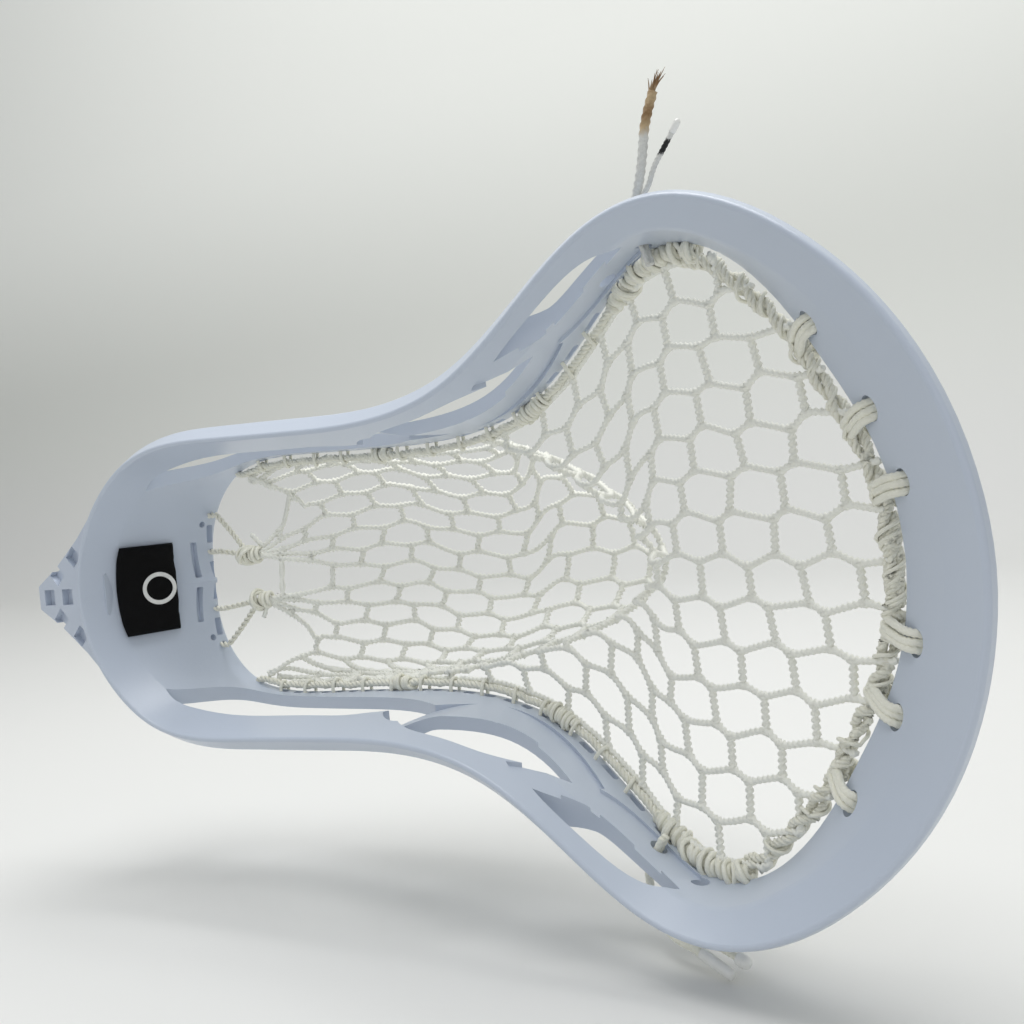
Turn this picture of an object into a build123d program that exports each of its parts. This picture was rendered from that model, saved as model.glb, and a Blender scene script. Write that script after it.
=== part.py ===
"""Strung lacrosse head: one moulded frame, ball stop pad, net pocket, laces and their free tails.

Frame: +X runs along the handle axis from the socket mouth to the scoop, +Z across the face,
and the open face looks towards -Y. The origin is the middle of the handle socket's mouth.
"""
import os
from math import pi, radians, tan

from build123d import *

os.makedirs("parts", exist_ok=True)

# ---- driving dimensions, millimetres ----
head_length = 285.5      # ball stop crest to scoop tip
head_width = 170.8       # crest to crest across the scoop corners
base_x = 25.0            # ball stop crest, ahead of the socket mouth
rim_front = 22.0         # rim plane, in front of the handle axis
bow_square = 10.1        # the rim's bow, seen from the side
bow_slope = 8.9
bow_centre = 147.0
bow_reach = 130.0

handle_flats = 25.4      # octagonal handle across its flats
handle_fit = 0.25        # clearance on each flat
socket_wall = 2.9
socket_depth = 18.0
tongue_thick = 2.7       # the tongue's height over the socket's front wall
tongue_reach = 3.0       # the tongue's tip, past the socket mouth
plate_thick = 4.0        # rear plate of the throat
plate_reach = 10.0
lattice = 5.4            # square recess in the tongue
lattice_deep = 2.4
screw_r = 2.2            # hole for the handle screw
screw_x = -4.0

window_through = 130.0
recess_deep = 0.9
slot_wide = 2.4          # string slots in the back rail
slot_up = 3.0            # middle of a slot, from the back edge
tie_hole_r = 3.0         # string holes in the scoop
tie_hole_up = 7.0
tail_hole_r = 2.5
tail_hole_up = 8.0
base_slot_wide = 2.3     # the two rows of string slots in the base wall
base_hole_r = 1.1

pad_wide = 30.6
pad_start = 12.8         # depths below the crest that the pad covers
pad_end = 31.5
pad_thick = 3.0
seat_gap = 0.6
mark_ring_r = 5.6
mark_ring_wide = 1.5
mark_proud = 0.4

net_thick = 2.4
net_side_gap = 7.2       # net edge to the back rail
net_scoop_gap = 11.5
lace_r = 1.2
lace_off = 2.9           # side lace, in from the wall
knot_r = 2.4
top_lace_r = 1.7
knot_half = 4.5          # half the length of a knot on the side lace
tie_wide = 4.4
tie_thick = 1.5
tie_across = 8.4         # size of a tie's loop through the wall
tie_gap = 0.4            # its run past the wall's edge
bottom_string_r = 1.05

# The rim's half outline, from the ball stop round to the scoop tip. Each station gives the
# distance along the head, the half width, the lip (outward, deep), the rail (inward, deep),
# the back edge (inward, deep) and the wall's thickness.
stations = [
    (0.0, 0.0, 4.5, 7.0, 4.0, 12.0, 18.8, 46.0, 4.0),
    (1.4, 10.9, 4.4, 7.0, 4.0, 12.0, 16.2, 46.7, 4.0),
    (6.0, 22.4, 4.3, 7.0, 4.0, 13.0, 12.3, 47.7, 4.0),
    (14.0, 33.0, 4.4, 7.0, 4.0, 14.0, 8.0, 49.0, 4.0),
    (25.5, 41.7, 4.2, 7.0, 4.0, 16.0, 5.2, 50.5, 4.0),
    (41.0, 46.0, 4.4, 7.0, 4.0, 17.0, 4.8, 51.7, 4.0),
    (62.0, 46.2, 4.8, 7.0, 4.0, 18.0, 4.8, 52.3, 4.0),
    (92.0, 45.0, 5.0, 7.0, 4.0, 18.0, 4.7, 52.1, 4.0),
    (122.4, 44.8, 4.9, 7.0, 4.0, 18.0, 4.2, 50.9, 4.0),
    (151.1, 50.6, 5.2, 7.0, 4.0, 18.0, 3.6, 47.4, 4.0),
    (172.9, 63.6, 4.8, 7.0, 4.0, 17.0, 3.2, 42.2, 4.0),
    (191.3, 77.0, 3.6, 6.0, 4.0, 14.0, 3.0, 36.3, 4.0),
    (205.5, 83.9, 2.5, 5.0, 4.2, 11.0, 4.2, 30.7, 3.8),
    (220.6, 85.4, 1.8, 4.2, 6.0, 10.0, 7.2, 27.1, 3.4),
    (238.0, 79.8, 1.5, 4.0, 8.0, 11.0, 11.7, 26.1, 3.2),
    (254.3, 68.4, 1.2, 4.0, 9.0, 12.0, 16.5, 26.0, 3.0),
    (265.9, 56.4, 1.0, 4.0, 10.0, 13.0, 19.4, 26.6, 3.0),
    (276.6, 39.2, 1.0, 4.0, 10.0, 13.0, 20.4, 27.0, 3.0),
    (283.6, 18.3, 1.0, 4.0, 10.0, 13.0, 20.4, 27.0, 3.0),
    (285.5, 0.0, 1.1, 4.0, 10.0, 13.0, 20.4, 27.0, 3.0),
]
last = len(stations) - 1
outline_half = max(row[1] for row in stations)
stretch = head_length / stations[last][0]
spread = head_width / 2 / outline_half
corner_radii = [0.9, 1.5, 3.0, 3.0, 1.2, 1.2, 4.0]


def rim_y(along):
    """Height of the crest at a distance along the head: a shallow bow that dips at the scoop."""
    share = (along - bow_centre) / bow_reach
    return -rim_front - bow_square * share * share - bow_slope * share


def head_point(along, deep):
    """A point of the side view, given along the head and deep below the rim plane."""
    return (base_x + along * stretch, deep - rim_front)


def station(i):
    """Station i of the outline, mirrored past either end of the half."""
    k = abs(i) if i <= last else 2 * last - i
    side = 1 if 0 <= i <= last else -1
    along, half, *shape = stations[k]
    return along, side * half * spread, shape


def crest_point(i):
    along, half, _ = station(i)
    return Vector(base_x + along * stretch, rim_y(along), half)


def station_plane(i):
    """The plane across the wall at station i: x outward from the head, y deep."""
    run = crest_point(i + 1) - crest_point(i - 1)
    run = Vector(run.X, 0, run.Z).normalized()
    return Plane(origin=crest_point(i), x_dir=(-run.Z, 0, run.X), z_dir=-run)


def wall_frame(i):
    """The wall's rail and back points, the way down it and the way out of it, in its plane."""
    _, _, rail_in, rail_deep, back_in, back_deep, wall = station(i)[2]
    rail, back = Vector(-rail_in, rail_deep), Vector(-back_in, back_deep)
    down = (back - rail).normalized()
    return rail, back, down, Vector(down.Y, -down.X), wall


def wall_corners(i):
    """The wall's section: crest, lip, outer shoulder, back rail and inner rail."""
    lip_out, lip_deep = station(i)[2][:2]
    rail, back, down, out, wall = wall_frame(i)
    under_lip = Vector(lip_out - 0.4, 1.85 * lip_deep)
    shoulder = rail + out * wall
    shoulder += down * ((under_lip.Y + 6 - shoulder.Y) / down.Y)
    return [Vector(0, 0), Vector(lip_out, lip_deep), under_lip, shoulder, back + out * wall, back, rail]


def wall_point(i, up, out_by):
    """A point beside the inner wall: up from the back edge, and out from the inner face."""
    _, back, down, out, _ = wall_frame(i)
    spot = back - down * up + out * out_by
    return station_plane(i).from_local_coords((spot.X, spot.Y, 0))


def wall_line(up, out_by, first, final):
    """A smooth line that follows the wall between two stations."""
    points = [wall_point(i, up, out_by) for i in range(first, final + 1)]
    return Spline(*points, mode=Mode.PRIVATE)


def skin_section(i, inner, outer, start=None, end=None):
    """A strip of the inner wall between two offsets, over all its depth or part of it."""
    rail, back, down, out, _ = wall_frame(i)
    top = rail if start is None else rail + down * ((start - rail.Y) / down.Y)
    foot = back if end is None else rail + down * ((end - rail.Y) / down.Y)
    corners = [top + out * outer, foot + out * outer, foot + out * inner, top + out * inner]
    if start is None:
        corners = [out * outer] + corners + [out * inner]
    return corners


def cord_radii(points):
    """The bend radius at each inner point: 0.45 of the shorter run over tan(half the turn)."""
    radii = []
    for before, here, after in zip(points, points[1:], points[2:]):
        run_in, run_out = Vector(here) - Vector(before), Vector(after) - Vector(here)
        turn = radians(run_in.get_angle(run_out))
        radii.append(0.45 * min(run_in.length, run_out.length) / tan(turn / 2))
    return radii


def cord_tube(points, radius):
    """A round tube along straight runs joined by tangent arcs, swept in the current part."""
    with BuildLine() as route:
        FilletPolyline(*points, radius=cord_radii(points))
    with BuildSketch(Plane(origin=route.line @ 0, z_dir=route.line % 0)) as section:
        Circle(radius)
    sweep(sections=section.sketch, path=route.line)


def finish_piece(piece, name):
    piece.part.label = name
    export_step(piece.part, f"parts/{name}.step")


# ---- head frame: half a loft, its windows and holes, then the mirrored half and the throat ----
long_window = [
    [(20.2, 13.5), (24.0, 13.2), (32.0, 15.6), (43.0, 17.6), (62.0, 18.4), (80.0, 18.6), (97.0, 18.8),
     (108.0, 23.0), (118.5, 31.5)],
    [(118.5, 31.5), (100.0, 39.0), (72.0, 42.4), (40.4, 44.0), (31.0, 41.0), (25.5, 31.0), (20.2, 13.5)],
]
middle_window = [
    [(116.5, 15.0), (124.0, 10.8), (137.0, 9.2), (149.0, 9.0), (158.5, 12.5), (170.2, 20.5)],
    [(170.2, 20.5), (157.0, 26.2), (143.5, 27.0), (130.0, 22.4), (116.5, 15.0)],
]
corner_window = [
    [(163.4, 8.0), (170.8, 5.6), (180.0, 4.6), (191.0, 4.0), (198.0, 5.0), (204.5, 9.0)],
    [(204.5, 9.0), (198.0, 12.8), (190.0, 15.0), (180.6, 15.3), (171.4, 11.6), (163.4, 8.0)],
]
upper_facet = [
    [(106.5, 21.0), (109.6, 25.4), (119.6, 32.3), (138.6, 41.5), (149.5, 40.7), (161.0, 37.1), (176.0, 28.0)],
    [(176.0, 28.0), (170.2, 20.5), (157.0, 26.2), (143.5, 27.0), (130.0, 22.4), (116.5, 15.0), (106.5, 21.0)],
]
lower_facet = [
    [(156.0, 10.2), (163.5, 16.0), (169.6, 20.6), (175.2, 26.0), (185.2, 28.6), (193.0, 26.8), (206.0, 19.6)],
    [(206.0, 19.6), (198.0, 12.8), (190.0, 15.0), (180.6, 15.3), (171.4, 11.6), (163.4, 8.0), (156.0, 10.2)],
]
side_slots = [40, 46, 52, 58, 64, 70, 76, 82, 88, 94, 100, 106, 112]
flare_slots = [(119, 4.0), (127.5, 3.8), (135, 3.6), (142, 3.6), (149, 3.8), (156.5, 4.2), (164.5, 5.0),
               (173, 5.4), (182, 6.0), (192, 6.6), (202.5, 6.0)]
base_slots = [(37.0, 8.0, 12.6), (43.2, 3.9, 6.0), (43.4, 16.8, 6.4)]
base_holes = [(40.4, 20.4), (43.6, 10.3), (44.0, 23.4)]
tie_stations = [15.45, 16.9, 17.95]
tail_stations = [11, 12]


def base_plane(deep, across):
    """The plane of a cut through the base wall, given its depth and its place across."""
    middle = (base_x + stations[0][6], deep - rim_front, across)
    return Plane(origin=middle, x_dir=(0, 0, 1), z_dir=(-1, 0, 0))


with BuildPart() as wall_skin:
    for i in range(7, 15):
        with BuildSketch(station_plane(i)):
            with BuildLine():
                Polyline(*skin_section(i, -4.0, recess_deep), close=True)
            make_face()
    loft()

facet_cuts = []
for outline in (upper_facet, lower_facet):
    with BuildPart() as facet:
        with BuildSketch(Plane.XY):
            with BuildLine():
                for edge_points in outline:
                    Spline(*[head_point(*p) for p in edge_points])
            make_face()
        extrude(amount=window_through)
        add(wall_skin.part, mode=Mode.INTERSECT)
    facet_cuts.append(facet.part)


def slot_spots():
    """Middle, run and outward direction of each string slot along the side rail."""
    inner = wall_line(slot_up, 0, 4, 13)
    outer = wall_line(slot_up, 4, 4, 13)
    spots = []
    for along, length in [(a, 3.0) for a in side_slots] + flare_slots:
        share = (along - stations[4][0]) / (stations[13][0] - stations[4][0])
        for _ in range(12):
            share -= ((inner @ share).X - base_x - along * stretch) / (inner.length * abs((inner % share).X))
        here = inner @ share
        spots.append((here, inner % share, outer @ share - here, length))
    return spots


def tie_spots():
    """Middle, run and outward direction of the scoop's string holes in one half."""
    inner = wall_line(tie_hole_up, 0, 13, last)
    outer = wall_line(tie_hole_up, 3, 13, last)
    spots = []
    for place in tie_stations:
        share = (place - 13) / (last - 13)
        spots.append((inner @ share, inner % share, (outer @ share - inner @ share).normalized()))
    return spots


with BuildPart() as half:
    for i in range(-1, last + 2):
        with BuildSketch(station_plane(i)):
            with BuildLine():
                FilletPolyline(*wall_corners(i), radius=corner_radii, close=True)
            make_face()
    loft()
    split(bisect_by=Plane.XY, keep=Keep.TOP)
    for outline in (long_window, middle_window, corner_window):
        with BuildSketch(Plane.XY):
            with BuildLine():
                for edge_points in outline:
                    Spline(*[head_point(*p) for p in edge_points])
            make_face()
    extrude(amount=window_through, mode=Mode.SUBTRACT)
    for cut in facet_cuts:
        add(cut, mode=Mode.SUBTRACT)
    for here, run, outward, length in slot_spots():
        with BuildSketch(Plane(origin=here, x_dir=run, z_dir=outward)):
            RectangleRounded(length, slot_wide, 0.6)
    extrude(amount=7, both=True, mode=Mode.SUBTRACT)
    for here, run, outward in tie_spots():
        with BuildSketch(Plane(origin=here, x_dir=run, z_dir=outward)):
            Circle(tie_hole_r)
    extrude(amount=6, both=True, mode=Mode.SUBTRACT)
    for deep, across, length in base_slots:
        with BuildSketch(base_plane(deep, across)):
            RectangleRounded(length, base_slot_wide, 0.5)
    for deep, across in base_holes:
        with BuildSketch(base_plane(deep, across)):
            Circle(base_hole_r)
    extrude(amount=3 * stations[0][8], both=True, mode=Mode.SUBTRACT)
    for place in tail_stations:
        with BuildSketch(Plane(origin=wall_point(place, tail_hole_up, 0), z_dir=station_plane(place).x_dir)):
            Circle(tail_hole_r)
    extrude(amount=8, both=True, mode=Mode.SUBTRACT)

bore_flats = handle_flats + 2 * handle_fit
socket_flats = bore_flats + 2 * socket_wall
tongue_front = -socket_flats / 2 - tongue_thick


def octagon(flats):
    """A regular octagon by its flats, with flats facing the head's face and sides."""
    RegularPolygon(flats / 2, 8, major_radius=False, rotation=22.5)


with BuildPart() as head_frame:
    add(half.part)
    mirror(about=Plane.XY)
    with BuildSketch(Plane.YZ):
        octagon(socket_flats)
    extrude(amount=base_x + 4)
    with BuildSketch(Plane.XY):
        Polygon((-1, -20), (11, -20), (1, -4), (-1, -4), align=None)
    extrude(amount=20, both=True, mode=Mode.SUBTRACT)
    with BuildSketch(Plane.XZ.offset(-tongue_front)):
        Polygon((-tongue_reach, -4), (8, -10.5), (20, -19.5), (26.5, -25.5), (31, -30), (35, -29.5),
                (30.5, -20), (27.2, -10), (26.4, 0), (27.2, 10), (30.5, 20), (35, 29.5),
                (31, 30), (26.5, 25.5), (20, 19.5), (8, 10.5), (-tongue_reach, 4), align=None)
    extrude(amount=tongue_front + bore_flats / 2)
    with BuildSketch(Plane.XZ.offset(-bore_flats / 2)):
        Polygon((-plate_reach, -8), (0, -13), (15, -17), (33, -27), (38, -26), (38, 26), (33, 27),
                (15, 17), (0, 13), (-plate_reach, 8), align=None)
    extrude(amount=-plate_thick)
    with BuildSketch(Plane.YZ.offset(-plate_reach - 5)):
        octagon(bore_flats)
    extrude(amount=plate_reach + 5 + socket_depth, mode=Mode.SUBTRACT)
    with BuildSketch(Plane.XZ.offset(-bore_flats / 2 + 1)):
        with Locations((screw_x, 0)):
            Circle(screw_r)
    extrude(amount=-plate_thick - 2, mode=Mode.SUBTRACT)
    for along, across, turn in ((2.6, 0, 0), (12.2, 0, 0), (7.8, 7.6, 45), (17.2, 13.6, 45)):
        for side in (1, -1):
            with BuildSketch(Plane.XZ.offset(-tongue_front)):
                with Locations(Location((along, across * side), turn * side)):
                    Rectangle(lattice, lattice)
    extrude(amount=-lattice_deep, mode=Mode.SUBTRACT)
finish_piece(head_frame, "head_frame")
print("head frame", head_frame.part.is_valid, len(head_frame.part.solids()), round(head_frame.part.volume))

# ---- ball stop pad and its plain ring mark ----
with BuildPart() as ball_stop_pad:
    for i in range(-2, 3):
        with BuildSketch(station_plane(i)):
            with BuildLine():
                Polyline(*skin_section(i, -seat_gap - pad_thick, -seat_gap, pad_start, pad_end), close=True)
            make_face()
    loft()
    with BuildSketch(Plane.YZ):
        Rectangle(4 * rim_front + 4 * pad_end, pad_wide)
    extrude(amount=3 * base_x, mode=Mode.INTERSECT)
finish_piece(ball_stop_pad, "ball_stop_pad")

with BuildPart() as mark_skin:
    for i in range(-2, 3):
        with BuildSketch(station_plane(i)):
            with BuildLine():
                top = -seat_gap - pad_thick - 0.02
                Polyline(*skin_section(i, top - mark_proud, top, pad_start, pad_end), close=True)
            make_face()
    loft()
pad_middle = wall_point(0, stations[0][7] - (pad_start + pad_end) / 2, 0)
with BuildPart() as ball_stop_mark:
    with BuildSketch(Plane(origin=pad_middle, x_dir=(0, 0, 1), z_dir=station_plane(0).x_dir)):
        Circle(mark_ring_r)
        Circle(mark_ring_r - mark_ring_wide, mode=Mode.SUBTRACT)
    extrude(amount=12, both=True)
    add(mark_skin.part, mode=Mode.INTERSECT)
finish_piece(ball_stop_mark, "ball_stop_mark")

# ---- net pocket: a thin bag, section by section from the throat to the scoop ----
# distance along X, and how far the middle hangs below the handle axis
net_sections = [(60, 34), (70, 44), (86, 55), (108, 63), (134, 67), (160, 64), (182, 54), (202, 38),
                (222, 20), (246, 7), (268, -5)]
net_shares = [-1, -0.72, -0.38, 0, 0.38, 0.72, 1]
net_hang = [0, 0.5, 0.92, 1, 0.92, 0.5, 0]


def line_at(line, x):
    """The share of a line at which it reaches a distance along X."""
    low, high = 0.0, 1.0
    for _ in range(40):
        middle = (low + high) / 2
        if (line @ middle).X < x:
            low = middle
        else:
            high = middle
    return low


rail_line = wall_line(0, 0, 4, last)
with BuildPart() as mesh_pocket:
    for x, hang in net_sections:
        edge = rail_line @ line_at(rail_line, x)
        gap = net_side_gap + (net_scoop_gap - net_side_gap) * max(0, (x - 200) / 68)
        half_wide, rim = edge.Z - gap, edge.Y - 2
        upper = [(rim + (hang - rim) * h, half_wide * s) for s, h in zip(net_shares, net_hang)]
        with BuildSketch(Plane.YZ.offset(x)):
            with BuildLine():
                face_edge = Spline(*upper)
                back_edge = Spline(*[(y + net_thick, z) for y, z in upper])
                Line(face_edge @ 0, back_edge @ 0)
                Line(face_edge @ 1, back_edge @ 1)
            make_face()
    loft()
finish_piece(mesh_pocket, "mesh_pocket")


# ---- laces: side laces with knots between their spans, top lace, corner coils, scoop ties ----
def lace_route(first, final, up, off, side):
    points = [wall_point(i, up, -off) for i in range(first, final + 1)]
    return [(p.X, p.Y, p.Z * side) for p in points]


def shortened(points, start_cut, end_cut):
    """The same route with both end runs cut back along themselves."""
    first, second, *_ = [Vector(p) for p in points]
    *_, before, final = [Vector(p) for p in points]
    start = first + (second - first).normalized() * start_cut
    end = final - (final - before).normalized() * end_cut
    return [start] + points[1:-1] + [end]


for side, word in ((1, "upper"), (-1, "lower")):
    route = lace_route(4, 11, 2.0, lace_off, side)
    with BuildPart() as side_lace:
        for first, final in ((0, 3), (3, 5), (5, 7)):
            cord_tube(shortened(route[first:final + 1], knot_half, knot_half), lace_r)
    finish_piece(side_lace, f"sidewall_string_{word}")
    with BuildPart() as knots:
        for place in (3, 5):
            before, here, after = (Vector(route[place + k]) for k in (-1, 0, 1))
            start = here - (here - before).normalized() * (knot_half - 0.2)
            end = here + (after - here).normalized() * (knot_half - 0.2)
            cord_tube([start, here, end], knot_r)
    finish_piece(knots, f"sidewall_knots_{word}")
    with BuildPart() as corner_coil:
        coil = lace_route(11, 13, -3.2, 0.2, side)
        cord_tube(shortened(coil, 1.0, 3.0), knot_r)
    finish_piece(corner_coil, f"corner_coil_{word}")

with BuildPart() as top_string:
    points = [wall_point(i, -4.0, 1.5) for i in range(13, 2 * last - 12)]
    cord_tube(shortened(points, 2.0, 2.0), top_lace_r)
finish_piece(top_string, "top_string")

tie_number = 0
for side, word in ((1, "upper"), (-1, "lower")):
    for place, (here, run, outward) in zip(("outer", "middle", "inner"), tie_spots()):
        here, run, outward = (Vector(v.X, v.Y, v.Z * side) for v in (here, run, outward))
        # in this plane x runs out through the wall and y runs from the hole to the wall's edge
        plane = Plane(origin=here, x_dir=outward, z_dir=run)
        reach = 1 if plane.y_dir.Y > 0 else -1
        tie_long = 2 * (tie_hole_up + tie_gap) + tie_thick
        with BuildPart() as tie:
            with BuildSketch(plane):
                with Locations((stations[last][8] / 2, reach * (tie_hole_up + tie_gap))):
                    RectangleRounded(tie_across, tie_long, 1.4 * tie_thick)
                    RectangleRounded(tie_across - 2 * tie_thick, tie_long - 2 * tie_thick, 0.9 * tie_thick,
                                     mode=Mode.SUBTRACT)
            extrude(amount=tie_wide / 2, both=True)
        finish_piece(tie, f"scoop_tie_{word}_{place}")

# ---- bottom string: strands from the base wall to the net's gathered end ----
gather = {1: (54.6, 24.0, 7.0), -1: (54.6, 24.0, -7.0)}
with BuildPart() as bottom_string:
    for side, end in gather.items():
        for across in (10.3, 23.4):
            start = Vector(base_x + 21.5, 21.0, across * side)
            finish = Vector(end) + Vector(0, 0, side * (across - 17) * 0.25)
            with BuildLine() as strand:
                Line(start, finish)
            with BuildSketch(Plane(origin=start, z_dir=finish - start)):
                Circle(bottom_string_r)
            sweep(path=strand.line)
finish_piece(bottom_string, "bottom_string")

# ---- free tails: each leaves a hole in the corner wall ----
upper_braid = [(233.1, -4.5, 75.4), (231.6, -4.5, 80.4), (230.6, -4.8, 85.6), (232.0, -8.2, 90.6),
               (235.4, -11.8, 94.9), (237.0, -12.2, 101.2), (238.4, -12.8, 108.0), (240.7, -11.7, 114.4)]
upper_thin = [(233.2, -6.6, 75.6), (231.8, -6.6, 80.4), (230.4, -6.7, 85.4), (232.6, -9.4, 89.2),
              (237.2, -11.2, 92.6), (239.2, -11.8, 96.9), (242.0, -11.5, 100.6), (244.9, -12.0, 104.0)]
lower_braid = [(219.4, 3.1, -72.1), (217.0, 3.1, -76.0), (214.9, 2.9, -80.2), (214.8, -0.2, -84.6),
               (218.0, -5.0, -89.0), (225.0, -9.8, -93.4), (231.5, -11.0, -94.8), (237.5, -12.6, -97.2)]
lower_thin = [(219.3, 0.9, -72.1), (217.0, 0.8, -75.9), (214.7, 0.5, -79.7), (215.6, -1.9, -83.6),
              (219.6, -4.0, -87.2), (226.5, -5.4, -90.8), (232.5, -8.4, -93.2), (238.0, -10.4, -93.9),
              (243.0, -11.9, -95.2)]
tails = {"upper_tail_braid": (upper_braid, 1.15), "upper_tail_thin": (upper_thin, 0.65),
         "lower_tail_braid": (lower_braid, 1.1), "lower_tail_thin": (lower_thin, 0.9)}
for name, (points, radius) in tails.items():
    with BuildPart() as tail:
        cord_tube(points, radius)
    runs = sum((Vector(q) - Vector(p)).length for p, q in zip(points, points[1:]))
    length = tail.part.volume / (pi * radius ** 2)
    print(name, "radii", [round(r, 1) for r in cord_radii(points)], "runs, length", round(runs, 1), round(length, 1))
    finish_piece(tail, name)

# the ends of the tails: two heat-sealed tips, one sleeve and one frayed tuft
tips = {"upper_tail_tuft": (upper_braid, 1.15, 0.35, 6.0), "upper_tail_tip": (upper_thin, 0.85, 0.7, 3.0),
        "lower_tail_sleeve": (lower_braid, 1.5, 1.4, 5.0), "lower_tail_tip": (lower_thin, 1.7, 1.4, 3.4)}
for name, (points, start_r, end_r, length) in tips.items():
    end, before = Vector(points[-1]), Vector(points[-2])
    ahead = (end - before).normalized()
    with BuildPart() as tip:
        for distance, radius in ((0.02, start_r), (length, end_r)):
            with BuildSketch(Plane(origin=end + ahead * distance, z_dir=ahead)):
                Circle(radius)
        loft()
    finish_piece(tip, name)
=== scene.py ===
"""The looks of a strung lacrosse head: satin frame, knotted net, laces, foam pad and loose tails.

Everything is in metres in the row frame: +X runs from the socket to the scoop, +Z across the face,
and the open face looks towards -Y. Lengths below are written in millimetres times mm.
"""
import math

import bpy
import numpy as np
from mathutils import Matrix, Vector
from mathutils.bvhtree import BVHTree


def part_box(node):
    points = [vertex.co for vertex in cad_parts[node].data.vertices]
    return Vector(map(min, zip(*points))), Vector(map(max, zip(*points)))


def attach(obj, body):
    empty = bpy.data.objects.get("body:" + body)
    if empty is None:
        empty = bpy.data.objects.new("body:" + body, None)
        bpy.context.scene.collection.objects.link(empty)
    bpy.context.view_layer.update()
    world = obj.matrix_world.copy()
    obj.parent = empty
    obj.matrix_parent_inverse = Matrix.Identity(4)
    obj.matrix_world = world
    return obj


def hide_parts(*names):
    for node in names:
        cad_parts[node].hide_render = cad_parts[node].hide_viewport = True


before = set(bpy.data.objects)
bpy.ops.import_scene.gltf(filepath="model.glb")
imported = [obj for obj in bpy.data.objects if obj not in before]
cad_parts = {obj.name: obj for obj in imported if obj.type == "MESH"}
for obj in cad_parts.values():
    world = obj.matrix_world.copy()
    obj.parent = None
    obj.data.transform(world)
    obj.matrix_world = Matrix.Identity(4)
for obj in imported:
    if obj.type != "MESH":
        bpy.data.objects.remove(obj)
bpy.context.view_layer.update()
mm = 0.001
rng = np.random.default_rng(11)

# ---- camera: a lens on the scoop's side of the face, a little above the handle axis ----
camera_place = Vector((343.0, -259.8, 24.0)) * mm
camera_azimuth, camera_elevation, camera_roll = 31.6, 1.38, 5.37     # degrees
lens = 38.67


def make_camera():
    """A camera that looks along the azimuth and elevation, rolled about its own axis."""
    turn, rise = math.radians(camera_azimuth), math.radians(camera_elevation)
    ahead = Vector((-math.sin(turn) * math.cos(rise), math.cos(turn) * math.cos(rise), -math.sin(rise)))
    level = (-ahead).to_track_quat("Z", "Y").to_matrix().to_4x4()
    data = bpy.data.cameras.new("camera")
    data.lens, data.sensor_width = lens, 36.0
    data.clip_start, data.clip_end = 0.01, 20.0
    camera = bpy.data.objects.new("camera", data)
    camera.matrix_world = (Matrix.Translation(camera_place) @ level
                           @ Matrix.Rotation(math.radians(-camera_roll), 4, "Z"))
    bpy.context.scene.collection.objects.link(camera)
    bpy.context.scene.camera = camera


make_camera()


# ---- finishes ----
class Wire:
    """A socket in a finish. Arithmetic on it adds Math nodes, and node() makes any other node."""

    def __init__(self, tree, socket=None):
        self.tree, self.socket = tree, socket

    def node(self, kind, settings=None, sockets=None, out=0):
        """A node of this kind, its settings first, then the values or wires of its sockets."""
        made = self.tree.nodes.new(kind)
        for key, value in (settings or {}).items():
            if key == "stops":
                ramp = made.color_ramp
                while len(ramp.elements) < len(value):
                    ramp.elements.new(0.5)
                for stop, (place, colour) in zip(ramp.elements, value):
                    stop.position, stop.color = place, (*colour, 1)
            else:
                setattr(made, key, value)
        for key, value in (sockets or {}).items():
            if isinstance(value, Wire):
                self.tree.links.new(value.socket, made.inputs[key])
            else:
                made.inputs[key].default_value = value
        return Wire(self.tree, made.outputs[out])

    def maths(self, operation, first, second=0.0):
        return self.node("ShaderNodeMath", {"operation": operation}, {0: first, 1: second})

    def __add__(self, other):
        return self.maths("ADD", self, other)

    def __sub__(self, other):
        return self.maths("SUBTRACT", self, other)

    def __rsub__(self, other):
        return self.maths("SUBTRACT", other, self)

    def __mul__(self, other):
        return self.maths("MULTIPLY", self, other)

    __radd__, __rmul__ = __add__, __mul__


def new_finish(name, **numbers):
    """A material, its start wire and its shader, with plain numbers set on the shader's sockets."""
    material = bpy.data.materials.new(name)
    material.use_nodes = True
    tree = material.node_tree
    shader = tree.nodes["Principled BSDF"]
    for key, value in numbers.items():
        shader.inputs[key.replace("_", " ").title().replace("Ior", "IOR")].default_value = value
    return material, Wire(tree), shader


def feed(start, shader, socket, wire):
    start.tree.links.new(wire.socket, shader.inputs[socket])


def place_of(start):
    return start.node("ShaderNodeTexCoord", out=3)


def noise_at(start, place, scale, detail=2.0, rough=0.5):
    return start.node("ShaderNodeTexNoise", None,
                      {"Vector": place, "Scale": scale, "Detail": detail, "Roughness": rough})


def blend_colours(start, share, first, second, way="MIX"):
    """The first colour where share is 0 and the second where it is 1. A colour is a tuple or a wire."""
    first, second = (colour if isinstance(colour, Wire) else (*colour, 1) for colour in (first, second))
    return start.node("ShaderNodeMix", {"data_type": "RGBA", "blend_type": way},
                      {0: share, 6: first, 7: second}, out=2)


def bumped(start, height, distance, strength):
    return start.node("ShaderNodeBump", None, {"Height": height, "Distance": distance, "Strength": strength})


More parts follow.
